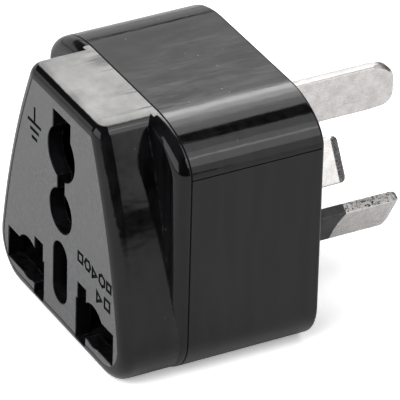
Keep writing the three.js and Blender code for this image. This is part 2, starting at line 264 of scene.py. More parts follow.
def block(x_low, x_high, y_low, y_high, z_low, z_high):
    """A box between six limits, in metres."""
    deselect()
    middle = ((x_low + x_high) / 2, (y_low + y_high) / 2, (z_low + z_high) / 2)
    bpy.ops.mesh.primitive_cube_add(size=1, location=middle)
    piece = bpy.context.object
    piece.scale = (x_high - x_low, y_high - y_low, z_high - z_low)
    return settle(piece)


def rod(x, z, radius, y_low, y_high, sides=48):
    """A round bar along Y, in metres."""
    deselect()
    bpy.ops.mesh.primitive_cylinder_add(
        vertices=sides,
        radius=radius,
        depth=y_high - y_low,
        location=(x, (y_low + y_high) / 2, z),
        rotation=(UPRIGHT, 0, 0),
    )
    return settle(bpy.context.object)


def bevel(offset, segments, profile=0.5):
    bpy.ops.mesh.bevel(
        offset=offset,
        offset_type="OFFSET",
        segments=segments,
        profile=profile,
        affect="EDGES",
        clamp_overlap=False,
    )


def slide(x=0.0, y=0.0, z=0.0):
    bpy.ops.transform.translate(value=(x, y, z), orient_type="GLOBAL")


def pull(x=0.0, y=0.0, z=0.0):
    """Extrudes what is selected."""
    bpy.ops.mesh.extrude_region_move(
        TRANSFORM_OT_translate={"value": (x, y, z), "orient_type": "GLOBAL"}
    )


def face_out():
    bpy.ops.mesh.select_all(action="SELECT")
    bpy.ops.mesh.normals_make_consistent(inside=False)


def modify(piece, kind, **settings):
    """Adds a modifier with these settings and applies it."""
    take(piece)
    bpy.ops.object.modifier_add(type=kind)
    change = piece.modifiers[-1]
    for key, value in settings.items():
        setattr(change, key, value)
    bpy.ops.object.modifier_apply(modifier=change.name)


def combine(piece, tool, operation):
    """Joins the tool to the piece, cuts it away or keeps what they share; the tool is then gone."""
    crossing = operation == "DIFFERENCE" and bool(tool.get("crosses_itself"))
    modify(piece, "BOOLEAN", operation=operation, solver="EXACT", use_self=crossing, object=tool)
    bpy.data.objects.remove(tool)
    return piece


def cut(piece, *tools):
    for tool in tools:
        combine(piece, tool, "DIFFERENCE")
    return piece


def weld(piece, *tools):
    for tool in tools:
        combine(piece, tool, "UNION")
    return piece


def tidy_seams(piece):
    edit(piece)
    bpy.ops.mesh.select_all(action="SELECT")
    bpy.ops.mesh.remove_doubles(threshold=0.000001)
    bpy.ops.mesh.dissolve_degenerate(threshold=0.000001)
    leave_edit()


def smooth(piece, angle=32.0):
    """Shades curves smooth and flats flat, with normals led by the large faces."""
    take(piece)
    bpy.ops.object.shade_smooth_by_angle(angle=math.radians(angle))
    modify(piece, "WEIGHTED_NORMAL", keep_sharp=True, weight=60)
    return piece


def finish_piece(piece, name, stands_for, slot, *materials):
    """Names the piece, gives it its materials and puts it on the body of the node it stands for."""
    piece.name = name
    piece.data.name = name
    for material in materials:
        piece.data.materials.append(material)
    body = frame["nodes"][stands_for]["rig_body"]
    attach(piece, body)
    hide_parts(stands_for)
    return piece


def along_y(edge):
    a, b = edge.verts[0].co, edge.verts[1].co
    return abs(a.x - b.x) < NEAR and abs(a.z - b.z) < NEAR


def edge_at(edge, axis, value):
    return all(abs(vert.co[axis] - value) < NEAR for vert in edge.verts)


def centre(face):
    return face.calc_center_median()


def round_edges(level, offset, segments):
    """Rounds the edited piece's edges that lie at one depth."""
    pick("edges", lambda edge: edge_at(edge, 1, level))
    bevel(offset, segments)


def soften_openings(level):
    """Softens the rims of the openings in a flat wall that lies at one depth."""
    pick("edges", lambda edge: edge_at(edge, 1, level) and len(edge.link_faces) == 2
         and min(abs(face.normal.y) for face in edge.link_faces) < 0.1
         and max(abs(face.normal.y) for face in edge.link_faces) > 0.95)
    bevel(SOFT_EDGE, 2)


# ---- Outlines ----

def casing_slab(inset, y_low, y_high, steps=14):
    """A slice of the casing: flat top with long low corners, small round foot corners."""
    size = sizes()
    half = size.width / 2 - inset
    top = size.height - inset
    across = size.corner_across - inset
    down = size.corner_down - inset
    squeeze = down / across
    slab = block(-half * squeeze, half * squeeze, y_low, y_high, inset, top)
    edit(slab)
    pick("edges", lambda edge: along_y(edge) and edge_at(edge, 2, top))
    bevel(down, steps)
    bpy.ops.mesh.select_all(action="SELECT")
    bpy.ops.transform.resize(value=(1 / squeeze, 1, 1), center_override=(0, 0, 0))
    pick("edges", lambda edge: along_y(edge) and edge_at(edge, 2, inset)
         and abs(edge.verts[0].co.x) > half / 2)
    bevel(size.foot_corner - inset, steps)
    leave_edit()
    return slab


def corner_on_side(centre_x, centre_z, radius, z):
    """Middle and tangent angle of a small corner that touches the bowed side from inside."""
    reach = sizes().block_side - radius
    x = centre_x + math.sqrt(reach ** 2 - (z - centre_z) ** 2)
    return x, z, radius, math.atan2(z - centre_z, x - centre_x)


def spin_corner(steps, angle, x, y, z):
    bpy.ops.mesh.spin(steps=steps, angle=angle, center=(x, y, z), axis=(0, 1, 0))


def socket_block(inset, y_low, y_high):
    """The raised block: half its outline is spun arc by arc, then mirrored, filled and pulled."""
    size = sizes()
    side = size.block_side
    centre_x = size.block_top - side * math.cos(size.block_lean)
    centre_z = size.height - side * math.sin(size.block_lean)
    foot = corner_on_side(centre_x, centre_z, size.foot_corner, size.foot_corner)
    head = corner_on_side(centre_x, centre_z, size.block_corner, size.height - size.block_corner)
    deselect()
    bpy.ops.mesh.primitive_plane_add(size=0.001, location=(0, y_low, inset))
    piece = settle(bpy.context.object)
    edit(piece)
    bpy.ops.mesh.select_mode(type="VERT")
    bpy.ops.mesh.select_all(action="SELECT")
    bpy.ops.mesh.merge(type="CENTER")
    pull(x=foot[0])
    spin_corner(10, foot[3] + UPRIGHT, foot[0], y_low, foot[1])
    spin_corner(36, head[3] - foot[3], centre_x, y_low, centre_z)
    spin_corner(10, UPRIGHT - head[3], head[0], y_low, head[1])
    pull(x=-head[0])
    modify(piece, "MIRROR", merge_threshold=0.000005)
    edit(piece)
    bpy.ops.mesh.select_all(action="SELECT")
    bpy.ops.mesh.remove_doubles(threshold=0.000002)
    bpy.ops.mesh.edge_face_add()
    bpy.ops.mesh.select_all(action="SELECT")
    pull(y=y_high - y_low)
    face_out()
    leave_edit()
    return piece


# ---- Shared effects ----

def give(tree, socket, value):
    """Links the socket if the value is a socket too, and otherwise sets it."""
    if isinstance(value, bpy.types.NodeSocket):
        tree.links.new(value, socket)
    else:
        socket.default_value = value


def put(tree, kind, inputs=None, **settings):
    """Adds a node with its settings and inputs."""
    node = tree.nodes.new(kind)
    for key, value in settings.items():
        setattr(node, key, value)
    for key, value in (inputs or {}).items():
        give(tree, node.inputs[key], value)
    return node


def maths(tree, operation, a, b=0.0, clamp=False):
    node = put(tree, "ShaderNodeMath", {0: a, 1: b}, operation=operation, use_clamp=clamp)
    return node.outputs[0]


def times(tree, a, b, clamp=False):
    return maths(tree, "MULTIPLY", a, b, clamp)


def plus(tree, a, b, clamp=False):
    return maths(tree, "ADD", a, b, clamp)


def minus(tree, a, b):
    return maths(tree, "SUBTRACT", a, b)


def ramp(tree, value, low, high, to_low=0.0, to_high=1.0):
    return put(tree, "ShaderNodeMapRange", {
        "Value": value, "From Min": low, "From Max": high, "To Min": to_low, "To Max": to_high,
    }, interpolation_type="SMOOTHSTEP").outputs["Result"]


def stretched(tree, vector, scale, turn=(0, 0, 0)):
    inputs = {"Vector": vector, "Scale": scale, "Rotation": turn}
    return put(tree, "ShaderNodeMapping", inputs).outputs[0]


def vector_maths(tree, operation, a, b):
    return put(tree, "ShaderNodeVectorMath", {0: a, 1: b}, operation=operation).outputs


def noise(tree, vector, scale, detail=3.0, roughness=0.55):
    return put(tree, "ShaderNodeTexNoise", {
        "Vector": vector, "Scale": scale, "Detail": detail, "Roughness": roughness,
    }).outputs["Fac"]


def start_group(name, inputs, outputs):
    """Starts a shader node group with named sockets: the group, what it is given, its results."""
    group = bpy.data.node_groups.new(name, "ShaderNodeTree")
    for label, kind in inputs:
        group.interface.new_socket(name=label, in_out="INPUT", socket_type=kind)
    for label in outputs:
        group.interface.new_socket(name=label, in_out="OUTPUT", socket_type="NodeSocketFloat")
    return group, group.nodes.new("NodeGroupInput").outputs, group.nodes.new("NodeGroupOutput").inputs


def grain_group():
    """Fine moulded grain and slow mottling."""
    if made := bpy.data.node_groups.get("Moulded grain"):
        return made
    group, given, result = start_group(
        "Moulded grain",
        [("Vector", "NodeSocketVector"), ("Scale", "NodeSocketFloat")],
        ["Height", "Mottle", "Streak"],
    )
    fine = noise(group, given["Vector"], given["Scale"], 4.0, 0.6)
    pits = put(group, "ShaderNodeTexVoronoi", {"Vector": given["Vector"], "Scale": given["Scale"]})
    height = plus(group, fine, times(group, pits.outputs["Distance"], 0.35))
    give(group, result["Height"], height)
    slow = noise(group, given["Vector"], times(group, given["Scale"], 0.04), 5.0, 0.65)
    give(group, result["Mottle"], ramp(group, slow, 0.3, 0.7))
    drawn = stretched(group, given["Vector"], (1.0, 1.0, 0.08))
    lines = noise(group, drawn, times(group, given["Scale"], 0.25), 4.0, 0.6)
    give(group, result["Streak"], ramp(group, lines, 0.35, 0.65))
    return group


def wear_group():
    """Rubbed edges: where a rounded normal leaves the true one, broken up by noise."""
    if made := bpy.data.node_groups.get("Edge wear"):
        return made
    group, given, result = start_group(
        "Edge wear",
        [("Vector", "NodeSocketVector"), ("Radius", "NodeSocketFloat"), ("Breakup", "NodeSocketFloat")],
        ["Mask"],
    )
    rounded = put(group, "ShaderNodeBevel", {"Radius": given["Radius"]}, samples=4)
    true = put(group, "ShaderNodeNewGeometry")
    agree = vector_maths(group, "DOT_PRODUCT", rounded.outputs[0], true.outputs["Normal"])["Value"]
    edge = ramp(group, agree, 0.998, 0.9)
    patchy = ramp(group, noise(group, given["Vector"], given["Breakup"], 5.0, 0.7), 0.4, 0.68)
    give(group, result["Mask"], times(group, edge, patchy))
    return group


def scratch_group():
    """Thin wandering scratches and soft smears."""
    if made := bpy.data.node_groups.get("Scratches"):
        return made
    group, given, result = start_group(
        "Scratches",
        [("Vector", "NodeSocketVector"), ("Scale", "NodeSocketFloat"), ("Thickness", "NodeSocketFloat")],
        ["Mask", "Smear"],
    )
    found = None
    for turn, seed in ((0.35, 3.1), (-0.5, 7.7), (1.2, 12.4)):
        drawn = stretched(group, given["Vector"], (1.0, 0.07, 1.0), (0.0, 0.0, turn))
        moved = vector_maths(group, "ADD", drawn, (seed, seed, seed))[0]
        value = noise(group, moved, given["Scale"], 2.0, 0.5)
        off = maths(group, "ABSOLUTE", minus(group, value, 0.5))
        line = put(group, "ShaderNodeMapRange", {
            "Value": off, "From Min": 0.0, "From Max": given["Thickness"], "To Min": 1.0, "To Max": 0.0,
        }).outputs["Result"]
        patch = ramp(group, noise(group, moved, times(group, given["Scale"], 1.7), 2.0), 0.52, 0.62)
        one = times(group, line, patch)
        found = one if found is None else maths(group, "MAXIMUM", found, one)
    give(group, result["Mask"], found)
    wide = stretched(group, given["Vector"], (1.0, 0.35, 1.0), (0.0, 0.0, 0.5))
    smear = noise(group, wide, times(group, given["Scale"], 0.8), 6.0, 0.7)
    give(group, result["Smear"], ramp(group, smear, 0.5, 0.7))
    return group


def dust_group():
    """Scattered specks of dust."""
    if made := bpy.data.node_groups.get("Dust"):
        return made
    group, given, result = start_group(
        "Dust", [("Vector", "NodeSocketVector"), ("Scale", "NodeSocketFloat")], ["Mask"]
    )
    cells = put(group, "ShaderNodeTexVoronoi", {"Vector": given["Vector"], "Scale": given["Scale"]})
    speck = ramp(group, cells.outputs["Distance"], 0.16, 0.07)
    chosen = put(group, "ShaderNodeSeparateColor", {"Color": cells.outputs["Color"]})
    gate = ramp(group, chosen.outputs[0], 0.86, 0.88)
    give(group, result["Mask"], times(group, speck, gate))
    return group


def brushed_group():
    """Drawn lines along one way, and cloudy plating."""
    if made := bpy.data.node_groups.get("Drawn metal"):
        return made
    group, given, result = start_group(
        "Drawn metal",
        [("Vector", "NodeSocketVector"), ("Scale", "NodeSocketFloat"), ("Stretch", "NodeSocketVector")],
        ["Height", "Cloud"],
    )
    drawn = vector_maths(group, "MULTIPLY", given["Vector"], given["Stretch"])[0]
    lines = noise(group, drawn, given["Scale"], 4.0, 0.65)
    spots = noise(group, given["Vector"], times(group, given["Scale"], 0.9), 4.0, 0.7)
    give(group, result["Height"], plus(group, times(group, lines, 0.6), times(group, spots, 0.4)))
    cloud = noise(group, given["Vector"], times(group, given["Scale"], 0.22), 6.0, 0.7)
    give(group, result["Cloud"], ramp(group, cloud, 0.3, 0.7))
    return group


def use(tree, group, **inputs):
    return put(tree, "ShaderNodeGroup", inputs, node_tree=group).outputs


def blend_colour(tree, factor, a, b):
    return put(tree, "ShaderNodeMix", {0: factor, 6: a, 7: b}, data_type="RGBA").outputs[2]


def layers(tree, colour, *coats):
    """Lays coats over a colour, each with its mask, its strength and its own colour."""
    for mask, strength, coat in coats:
        colour = blend_colour(tree, times(tree, mask, strength), colour, coat)
    return colour


def start_material(name):
    material = bpy.data.materials.new(name)
    material.use_nodes = True
    tree = material.node_tree
    shader = tree.nodes["Principled BSDF"]
    place = tree.nodes.new("ShaderNodeTexCoord").outputs["Object"]
    return material, tree, shader, place


def surface(tree, shader, colour, rough, **fixed):
    """Feeds the shader its colour and roughness, and sets what is the same all over."""
    give(tree, shader.inputs["Base Color"], colour)
    give(tree, shader.inputs["Roughness"], rough)
    for label, value in fixed.items():
        give(tree, shader.inputs[label.replace("_", " ")], value)


def bump(tree, shader, height, strength, distance):
    node = put(tree, "ShaderNodeBump", {"Height": height, "Strength": strength, "Distance": distance})
    tree.links.new(node.outputs[0], shader.inputs["Normal"])


def grey(level):
    return (level, level, level, 1.0)


def tone(base, factor):
    return tuple(min(1.0, channel * factor) for channel in base) + (1.0,)


# ---- Materials ----

def polished_plastic(name="polished_black", base=None, gloss=0.07, spread=0.07):
    if made := bpy.data.materials.get(name):
        return made
    base = tuple(base or finishes().gloss)
    material, tree, shader, place = start_material(name)
    grain = use(tree, grain_group(), Vector=place, Scale=2600.0)
    dust = use(tree, dust_group(), Vector=place, Scale=900.0)["Mask"]
    scratch = use(tree, scratch_group(), Vector=place, Scale=260.0, Thickness=0.006)
    wear = use(tree, wear_group(), Vector=place, Radius=0.00035, Breakup=700.0)["Mask"]
    toned = blend_colour(tree, grain["Streak"], tone(base, 0.6), tone(base, 1.8))
    dusty = layers(tree, toned, (wear, 0.7, tone(base, 14.0)), (scratch["Mask"], 0.12, tone(base, 8.0)),
                   (dust, 0.3, (0.16, 0.155, 0.15, 1.0)))
    rough = plus(tree, gloss, times(tree, grain["Mottle"], spread))
    rough = plus(tree, rough, times(tree, scratch["Smear"], 0.07))
    rough = plus(tree, rough, times(tree, maths(tree, "MAXIMUM", wear, dust), 0.25), True)
    surface(tree, shader, dusty, rough, IOR=1.45)
    waves = noise(tree, stretched(tree, place, (1.0, 0.35, 1.0)), 230.0, 3.0, 0.5)
    low = plus(tree, times(tree, grain["Height"], 0.02), waves)
    height = minus(tree, low, times(tree, scratch["Mask"], 0.03))
    bump(tree, shader, height, 1.0, 0.00006)
    return material


def face_plastic():
    if made := bpy.data.materials.get("matt_socket_face"):
        return made
    base = tuple(finishes().face)
    material, tree, shader, place = start_material("matt_socket_face")
    grain = use(tree, grain_group(), Vector=place, Scale=2400.0)
    dust = use(tree, dust_group(), Vector=place, Scale=1300.0)["Mask"]
    scratch = use(tree, scratch_group(), Vector=place, Scale=300.0, Thickness=0.012)
    wear = use(tree, wear_group(), Vector=place, Radius=0.0003, Breakup=900.0)["Mask"]
    toned = blend_colour(tree, grain["Mottle"], tone(base, 0.84), tone(base, 1.12))
    toned = blend_colour(tree, ramp(tree, grain["Height"], 0.45, 0.95), tone(base, 0.74), toned)
    dusty = layers(tree, toned, (wear, 0.5, tone(base, 2.0)), (scratch["Mask"], 0.12, tone(base, 1.8)),
                   (dust, 0.3, (0.3, 0.29, 0.28, 1.0)))
    rough = plus(tree, 0.42, times(tree, grain["Mottle"], 0.12), True)
    surface(tree, shader, dusty, rough, IOR=1.5)
    bump(tree, shader, grain["Height"], 0.35, 0.00003)
    return material


def sheen_top_plastic():
    """The socket block's top: polished black, with a pale painted sheen where it faces up, for the light
    that its black plastic reflects; its satin roughness and the dark scratches and smears near the seam
    are its own.
    """
    if made := bpy.data.materials.get("worn_block_top"):
        return made
    base = tuple(finishes().worn)
    black = tuple(finishes().gloss)
    material, tree, shader, place = start_material("worn_block_top")
    grain = use(tree, grain_group(), Vector=place, Scale=4200.0)
    scratch = use(tree, scratch_group(), Vector=place, Scale=330.0, Thickness=0.02)
    toned = blend_colour(tree, grain["Mottle"], tone(base, 0.72), tone(base, 1.28))
    patches = ramp(tree, noise(tree, place, 95.0, 4.0, 0.6), 0.35, 0.65)
    toned = blend_colour(tree, patches, blend_colour(tree, 0.5, toned, tone(base, 0.6)), toned)
    depth = put(tree, "ShaderNodeSeparateXYZ", {"Vector": place}).outputs["Y"]
    near_seam = ramp(tree, depth, SEAM - 3.2 * MM, SEAM)
    smeared = layers(tree, toned, (scratch["Smear"], near_seam, tone(base, 0.2)))
    lines = times(tree, scratch["Mask"], plus(tree, near_seam, 0.15), True)
    marked = blend_colour(tree, lines, smeared, tone(base, 0.08))
    facing = put(tree, "ShaderNodeNewGeometry").outputs["Normal"]
    upward = put(tree, "ShaderNodeSeparateXYZ", {"Vector": facing}).outputs["Z"]
    uneven = times(tree, minus(tree, noise(tree, place, 700.0, 3.0), 0.5), 0.05)
    # painted sheen: the faces that look up turn pale, standing in for the light the black top reflects
    sheen_mask = ramp(tree, plus(tree, upward, uneven), 0.84, 0.9)
    colour = blend_colour(tree, sheen_mask, tone(black, 1.0), marked)
    satin = plus(tree, 0.36, times(tree, grain["Mottle"], 0.12), True)
    surface(tree, shader, colour, ramp(tree, sheen_mask, 0.0, 1.0, 0.1, satin), IOR=1.47)
    height = minus(tree, grain["Height"], times(tree, scratch["Mask"], 1.5))
    bump(tree, shader, times(tree, height, sheen_mask), 0.3, 0.00002)
    return material


# Near-black, hardly reflecting colour for the cut marks, the seam groove and the mould line: painted shade
# in these recesses
def recess_shade_plastic():
    if made := bpy.data.materials.get("mark_recess"):
        return made
    material, tree, shader, place = start_material("mark_recess")
    grain = use(tree, grain_group(), Vector=place, Scale=6000.0)
    toned = blend_colour(tree, grain["Mottle"], grey(0.002), grey(0.006))
    rough = plus(tree, 0.7, times(tree, grain["Mottle"], 0.2), True)
    surface(tree, shader, toned, rough, Specular_IOR_Level=0.15)
    bump(tree, shader, grain["Height"], 0.4, 0.00002)
    return material


def metal(name, base, rough_low, rough_high, scale, stretch):
    """Drawn, lightly scratched metal, brighter on rubbed edges."""
    if made := bpy.data.materials.get(name):
        return made
    material, tree, shader, place = start_material(name)
    drawn = use(tree, brushed_group(), Vector=place, Scale=scale, Stretch=stretch)
    scratch = use(tree, scratch_group(), Vector=place, Scale=420.0, Thickness=0.008)
    wear = use(tree, wear_group(), Vector=place, Radius=0.0003, Breakup=900.0)["Mask"]
    toned = blend_colour(tree, drawn["Cloud"], tone(base, 0.84), tone(base, 1.08))
    bright = layers(tree, toned, (scratch["Mask"], 0.4, tone(base, 0.5)), (wear, 0.5, tone(base, 1.25)))
    rough = ramp(tree, drawn["Height"], 0.3, 0.7, rough_low, rough_high)
    surface(tree, shader, bright, rough, Metallic=1.0)
    height = minus(tree, drawn["Height"], times(tree, scratch["Mask"], 0.5))
    bump(tree, shader, height, 0.3, 0.00001)
    return material


def nickel_edge():
    """The blades' narrow top edges: the same plating, rougher, and darkened as painted shade to hold back
    the bright reflection the tops take from the lights above.
    """
    shaded = tone(tuple(finishes().nickel), 0.56)[:3]
    return metal("nickel_edge", shaded, 0.3, 0.48, 3000.0, (1.0, 0.4, 1.0))


def nickel():
    return metal("nickel_plate", tuple(finishes().nickel), 0.2, 0.34, 3600.0, (1.0, 0.3, 1.0))


def sheared_metal():
    """The blades' stamped edges: torn metal with dark pits."""
    if made := bpy.data.materials.get("sheared_edge"):
        return made
    base = tuple(finishes().nickel)
    material, tree, shader, place = start_material("sheared_edge")
    drawn = use(tree, brushed_group(), Vector=place, Scale=2200.0, Stretch=(1.0, 0.5, 1.0))
    torn = ramp(tree, noise(tree, place, 3000.0, 4.0, 0.7), 0.53, 0.6)
    toned = blend_colour(tree, drawn["Cloud"], tone(base, 0.5), tone(base, 0.72))
    pitted = blend_colour(tree, torn, toned, tone(base, 0.1))
    surface(tree, shader, pitted, ramp(tree, torn, 0.0, 1.0, 0.4, 0.75), Metallic=1.0)
    bump(tree, shader, minus(tree, drawn["Height"], torn), 0.6, 0.00008)
    return material


def sleeve_plastic():
    return polished_plastic("sleeve_black", finishes().sleeve, 0.32, 0.12)


def carrier_plastic():
    return polished_plastic("carrier_grey", finishes().carrier, 0.45, 0.15)


def brass():
    return metal("contact_brass", tuple(finishes().brass), 0.25, 0.42, 2200.0, (1.0, 0.1, 1.0))


def steel():
    return metal("screw_steel", tuple(finishes().steel), 0.3, 0.5, 2400.0, (1.0, 1.0, 0.3))


# ---- Front cover ----

def opening_tools():
    """Cutters for the socket face's openings."""
    y_low, y_high = FRONT - MM, SEAM
    tools = [
        block(-EARTH_SLOT["half"] * MM, EARTH_SLOT["half"] * MM, y_low, y_high,
              UPPER_LOBE["z"] * MM, EARTH_SLOT["top"] * MM),
        rod(0, UPPER_LOBE["z"] * MM, UPPER_LOBE["radius"] * MM, y_low, y_high, 64),
        block(-EARTH_SLOT["neck"] * MM, EARTH_SLOT["neck"] * MM, y_low, y_high,
              LOWER_LOBE["z"] * MM, UPPER_LOBE["z"] * MM),
        rod(0, LOWER_LOBE["z"] * MM, LOWER_LOBE["radius"] * MM, y_low, y_high, 56),
        round_ended_slot(y_low, y_high),
    ]
    for side in (-1, 1):
        tools.append(side_block(side, POST["inner"], POST["outer"], y_low, y_high,
                                PIN_LINE - POST["half"], PIN_LINE + POST["half"]))
        tools.append(rod(side * ROUND_PIN["x"] * MM, ROUND_PIN["z"] * MM, ROUND_PIN["radius"] * MM,
                         y_low, y_high, 56))
        tools.append(side_block(side, STRIP["inner_above"], STRIP["outer"], y_low, y_high,
                                PIN_LINE, PIN_LINE + STRIP["above"]))
        tools.append(side_block(side, STRIP["inner_below"], STRIP["outer"], y_low, y_high,
                                PIN_LINE - STRIP["below"], PIN_LINE + 0.4))
    return tools


def side_block(side, inner, outer, y_low, y_high, z_low, z_high):
    ends = sorted((side * inner * MM, side * outer * MM))
    return block(ends[0], ends[1], y_low, y_high, z_low * MM, z_high * MM)


def round_ended_slot(y_low, y_high):
    half = MIDDLE["half"] * MM
    slot = block(-half, half, y_low, y_high, MIDDLE["low"] * MM, MIDDLE["high"] * MM)
    edit(slot)
    pick("edges", along_y)
    bevel(half * 0.9999, 14)
    tidy_seams(slot)
    return slot


def mark_tool():
    """One cutter for all the marks: straight strokes and small outlined shapes."""
    y_low, y_high = FRONT - 0.5 * MM, FRONT + MARK_DEPTH * MM
    strokes = [
        block(x0 * MM, x1 * MM, y_low, y_high, z0 * MM, z1 * MM) for x0, x1, z0, z1 in EARTH_SIGN
    ]
    for sides, x, z, radius, turn in MARK_ROWS:
        deselect()
        bpy.ops.mesh.primitive_circle_add(
            vertices=sides,
            radius=radius * MM,
            fill_type="NGON",
            location=(x * MM, y_low, z * MM),
            rotation=(UPRIGHT, math.radians(turn), 0),
        )
        shape = settle(bpy.context.object)
        edit(shape)
        bpy.ops.mesh.select_all(action="SELECT")
        bpy.ops.mesh.inset(thickness=MARK_STROKE * MM, depth=0)
        bpy.ops.mesh.delete(type="FACE")
        bpy.ops.mesh.select_all(action="SELECT")
        pull(y=y_high - y_low)
        face_out()
        strokes.append(shape)
    deselect()
    for stroke in strokes:
        stroke.select_set(True)
    bpy.context.view_layer.objects.active = strokes[0]
    bpy.ops.object.join()
    strokes[0]["crosses_itself"] = True
    return strokes[0]


def paint_faces(piece, slot_number, test):
    """Gives the faces that pass a test the material in that slot."""
    edit(piece)
    pick("faces", test)
    piece.active_material_index = slot_number
    bpy.ops.object.material_slot_assign()
    leave_edit()


class ADAPTER_OT_front_cover(bpy.types.Operator):
    """Models the front cover: socket block, flange, openings, marks, lip and screw posts"""

    bl_idname = "adapter.front_cover"
    bl_label = "Front cover"

    def execute(self, context):
        size = sizes()
        cover = socket_block(0.0, FRONT, SEAM - 0.5 * MM)
        edit(cover)
        round_edges(FRONT, size.block_edge, 7)
        pick("faces", lambda face: face.normal.y < -0.99 and face.calc_area() > 1e-5)
        bpy.ops.mesh.inset(thickness=0.1 * MM, depth=0)
        slide(y=FACE_STEP)
        flange = casing_slab(0.0, SEAM - size.flange, SEAM)
        edit(flange)
        round_edges(SEAM - size.flange, size.flange - 0.2 * MM, 7)
        round_edges(SEAM, SOFT_EDGE, 2)
        weld(cover, flange)
        edit(cover)
        # the top's painted sheen ends on the flange in line with the block's corners
        for side in (-1, 1):
            pick("faces", lambda face: face.normal.z > 0.5 and centre(face).z > size.height - 2 * MM)
            bpy.ops.mesh.bisect(plane_co=(side * (size.block_top + 0.3 * MM), 0, 0), plane_no=(1, 0, 0))
        cut(cover, socket_block(size.wall, FRONT + size.face_wall, SEAM + MM))
        lip_end = SEAM + (LIP["reach"] + 1) * MM
        lip = casing_slab(size.wall + LIP["gap"] * MM, SEAM - MM, SEAM + LIP["reach"] * MM)
        cut(lip,
            casing_slab(size.wall + LIP["inner"] * MM, SEAM - 2 * MM, lip_end),
            block(-size.width, size.width, SEAM - 2 * MM, lip_end, -MM, LIP["foot"] * MM))
        cut(lip, socket_block(size.wall, FRONT + size.face_wall, SEAM - 0.001 * MM))
        weld(cover, lip)
        for side in (-1, 1):
            x, z = side * SCREW_X * MM, SCREW_Z * MM
            weld(cover, rod(x, z, COVER_POST["radius"] * MM, SEAM - COVER_POST["start"] * MM,
                            COVER_POST["end"] * MM, 40))
            cut(cover, rod(x, z, COVER_POST["hole"] * MM, SEAM, BACK, 32))
        cut(cover, *opening_tools())
        tidy_seams(cover)
        edit(cover)
        soften_openings(FACE_LEVEL)
        leave_edit()
        cut(cover, mark_tool())
        tidy_seams(cover)
        edit(cover)
        flatten_above(size.height)
        smooth(cover)
        finish_piece(cover, "cover_front", "front_cover", "casing",
                     polished_plastic(), face_plastic(), sheen_top_plastic(), recess_shade_plastic())
        paint_faces(cover, 1, lambda face: face.normal.y < -0.98
                    and abs(centre(face).y - FACE_LEVEL) < 0.03 * MM)
        # the block's top takes the material with the painted sheen
        paint_faces(cover, 2, on_block_top)
        # painted shade in the marks' walls and floors and in the seam groove
        paint_faces(cover, 3, on_a_mark)
        paint_faces(cover, 3, seam_groove)
        return {"FINISHED"}


def on_block_top(face):
    """The block's top with its roundings, and the strip of the flange that carries on from it."""
    size = sizes()
    middle, upward = centre(face), face.normal.z
    if middle.z <= size.height - 2 * MM or not FRONT < middle.y < SEAM - 0.13 * MM:
        return False
    on_block = middle.y < SEAM - size.flange and abs(middle.x) < size.block_top + 2 * MM
    on_flange = abs(middle.x) < size.block_top + 0.31 * MM
    return upward > 0.5 and on_block or upward > 0.925 and on_flange


def seam_groove(face):
    """The faces of the fine groove where cover and housing meet."""
    return abs(centre(face).y - SEAM) < 0.11 * MM and 0.1 < abs(face.normal.y) < 0.99


def on_a_mark(face):
    """The walls and floors of the marks cut into the socket face."""
    middle = centre(face)
    if not FACE_LEVEL + 0.04 * MM < middle.y < FRONT + (MARK_DEPTH + 0.01) * MM:
        return False
    x, z = middle.x / MM, middle.z / MM
    if any(x0 - 0.1 < x < x1 + 0.1 and z0 - 0.1 < z < z1 + 0.1 for x0, x1, z0, z1 in EARTH_SIGN):
        return True
    return any(math.hypot(x - mx, z - mz) < radius + 0.1 for _, mx, mz, radius, _ in MARK_ROWS)


# ---- Rear housing ----

def blade_places():
    """(x, z, lean) of the earth, active and neutral blades."""
    earth_z = (EARTH_LOW.z + EARTH_HIGH.z) / 2
    live_z = earth_z - EARTH_RISE * MM
    live_x = LIVE_X * MM
    return [(0.0, earth_z, 0.0), (live_x, live_z, LIVE_LEAN), (-live_x, live_z, -LIVE_LEAN)]


def stand(piece, place):
    """Leans a piece built on the Y axis and moves it to its blade's place."""
    x, z, lean = place
    take(piece)
    piece.rotation_euler = (0, lean, 0)
    piece.location = (x, 0, z)
    return settle(piece)


def window_tool(place, gap, y_low, y_high):
    size = sizes()
    half_thick = size.blade_thickness / 2 + gap
    half_wide = size.blade_width / 2 + gap
    return stand(block(-half_thick, half_thick, y_low, y_high, -half_wide, half_wide), place)


